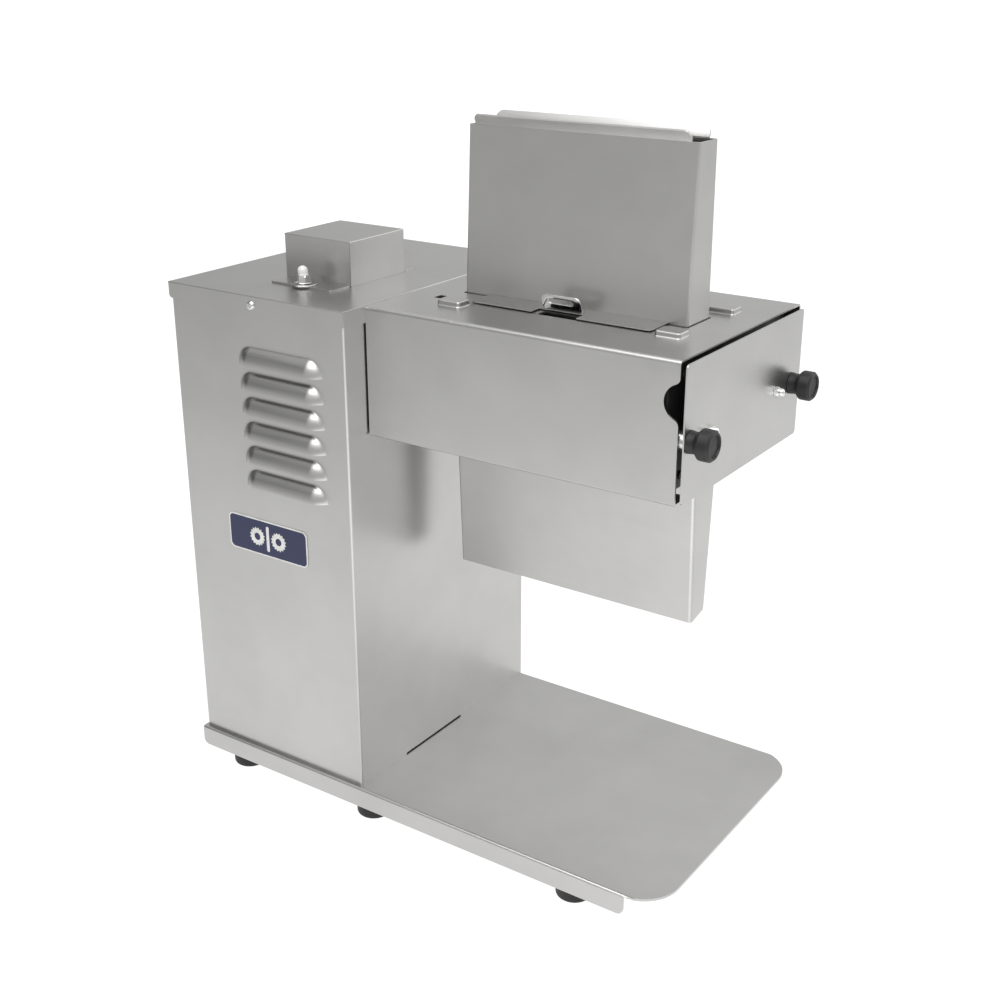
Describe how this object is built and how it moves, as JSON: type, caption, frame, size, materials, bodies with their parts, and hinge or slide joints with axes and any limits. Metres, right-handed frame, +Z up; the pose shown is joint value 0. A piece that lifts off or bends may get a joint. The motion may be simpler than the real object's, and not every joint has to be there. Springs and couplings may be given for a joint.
{
  "type": "meat tenderizer",
  "caption": "Bench-top powered meat tenderizer: louvered motor column on a tray base, overhung head with toothed rollers, feed chute above and discharge chute below.",
  "frame": {"origin": "middle of the bounding box at floor level, where the rubber feet rest", "axes": "+Z up, +X from the motor column towards the end plate and its knobs, +Y from the louvered front to the back"},
  "size_m": [0.4636, 0.2588, 0.5645],
  "materials": {
    "sheet_steel": "satin brushed stainless sheet",
    "machined_steel": "turned and milled stainless",
    "blade_steel": "ground blade steel",
    "gear_steel": "oiled cut steel",
    "bright_fasteners": "polished",
    "badge_blue": "dark blue enamel with a pale border",
    "black_rubber": "matt moulded rubber",
    "black_plastic": "fine textured moulding",
    "clear_silicone": "milky soft boot",
    "black_nylon": "machined nylon",
    "brass": "turned bronze and brass",
    "motor_grey": "hammered grey paint",
    "capacitor_white": "smooth moulding"
  },
  "bodies": {
    "chassis": {"base_plate": "sheet_steel", "column_shell": "sheet_steel", "rear_panel": "sheet_steel", "column_lid": "sheet_steel", "top_box": "sheet_steel", "discharge_chute": "sheet_steel", "head_flange": "machined_steel", "inner_bearing_plate": "machined_steel", "outer_bearing_plate": "machined_steel", "tie_rod_front": "machined_steel", "tie_rod_rear": "machined_steel", "front_comb": "machined_steel", "rear_comb": "machined_steel", "motor_stand": "machined_steel", "foot_studs": "machined_steel", "rear_panel_screws": "bright_fasteners", "lid_screws": "bright_fasteners", "switch_ring": "bright_fasteners", "switch_nut": "bright_fasteners", "block_screws": "bright_fasteners", "badge": "badge_blue", "foot_front_left": "black_rubber", "foot_front_middle": "black_rubber", "foot_front_right": "black_rubber", "foot_rear_left": "black_rubber", "foot_rear_middle": "black_rubber", "foot_rear_right": "black_rubber", "cable_gland": "black_plastic", "gland_nut": "black_plastic", "switch_body": "black_plastic", "safety_relay": "black_plastic", "outer_bearing_block": "black_nylon", "shaft_bushing": "brass", "inner_bushings": "brass", "motor_housing": "motor_grey", "gearbox_housing": "motor_grey", "gearbox_cover": "motor_grey", "capacitor": "capacitor_white"},
    "motor_rotor": {"motor_rotor": "machined_steel"},
    "front_roller": {"front_roller": "blade_steel", "front_timing_gear": "gear_steel", "drive_shaft": "machined_steel", "worm_wheel": "brass"},
    "rear_roller": {"rear_roller": "blade_steel", "rear_timing_gear": "gear_steel"},
    "switch_lever": {"switch_lever": "clear_silicone"},
    "head_cover": {"head_cover": "sheet_steel"},
    "feed_chute": {"feed_chute": "sheet_steel", "chute_base": "sheet_steel"},
    "end_plate": {"end_plate": "sheet_steel", "acorn_nuts": "bright_fasteners", "thrust_bar": "black_nylon"},
    "knob_front": {"knob_front": "black_plastic", "knob_insert_front": "brass"},
    "knob_rear": {"knob_rear": "black_plastic", "knob_insert_rear": "brass"}
  },
  "joints": [
    {"name": "motor_spin", "type": "hinge", "parent": "chassis", "child": "motor_rotor", "pos_m": [-0.14235, 0.0205, 0.212], "axis": [0, 0, 1], "continuous": true},
    {"name": "front_roller_spin", "type": "hinge", "parent": "chassis", "child": "front_roller", "pos_m": [0.06965, -0.0295, 0.381], "axis": [1, 0, 0], "continuous": true},
    {"name": "rear_roller_spin", "type": "hinge", "parent": "chassis", "child": "rear_roller", "pos_m": [0.06965, 0.0205, 0.381], "axis": [1, 0, 0], "continuous": true},
    {"name": "switch_toggle", "type": "hinge", "parent": "chassis", "child": "switch_lever", "pos_m": [-0.13005, -0.07695, 0.4365], "axis": [0, 1, 0], "range_deg": [0, 20]},
    {"name": "head_cover_slide", "type": "slide", "parent": "chassis", "child": "head_cover", "axis": [1, 0, 0], "range_m": [0, 0.262]},
    {"name": "feed_chute_lift", "type": "slide", "parent": "head_cover", "child": "feed_chute", "axis": [0, 0, 1], "range_m": [0, 0.15]},
    {"name": "end_plate_pull", "type": "slide", "parent": "head_cover", "child": "end_plate", "axis": [1, 0, 0], "range_m": [0, 0.06]},
    {"name": "knob_front_turn", "type": "hinge", "parent": "end_plate", "child": "knob_front", "pos_m": [0.21965, -0.08905, 0.3753], "axis": [1, 0, 0], "continuous": true},
    {"name": "knob_rear_turn", "type": "hinge", "parent": "end_plate", "child": "knob_rear", "pos_m": [0.21965, 0.07335, 0.3753], "axis": [1, 0, 0], "continuous": true}
  ],
  "couplings": [
    {"joint": "front_roller_spin", "follows": "motor_spin", "ratio": -0.05},
    {"joint": "rear_roller_spin", "follows": "motor_spin", "ratio": 0.05}
  ]
}
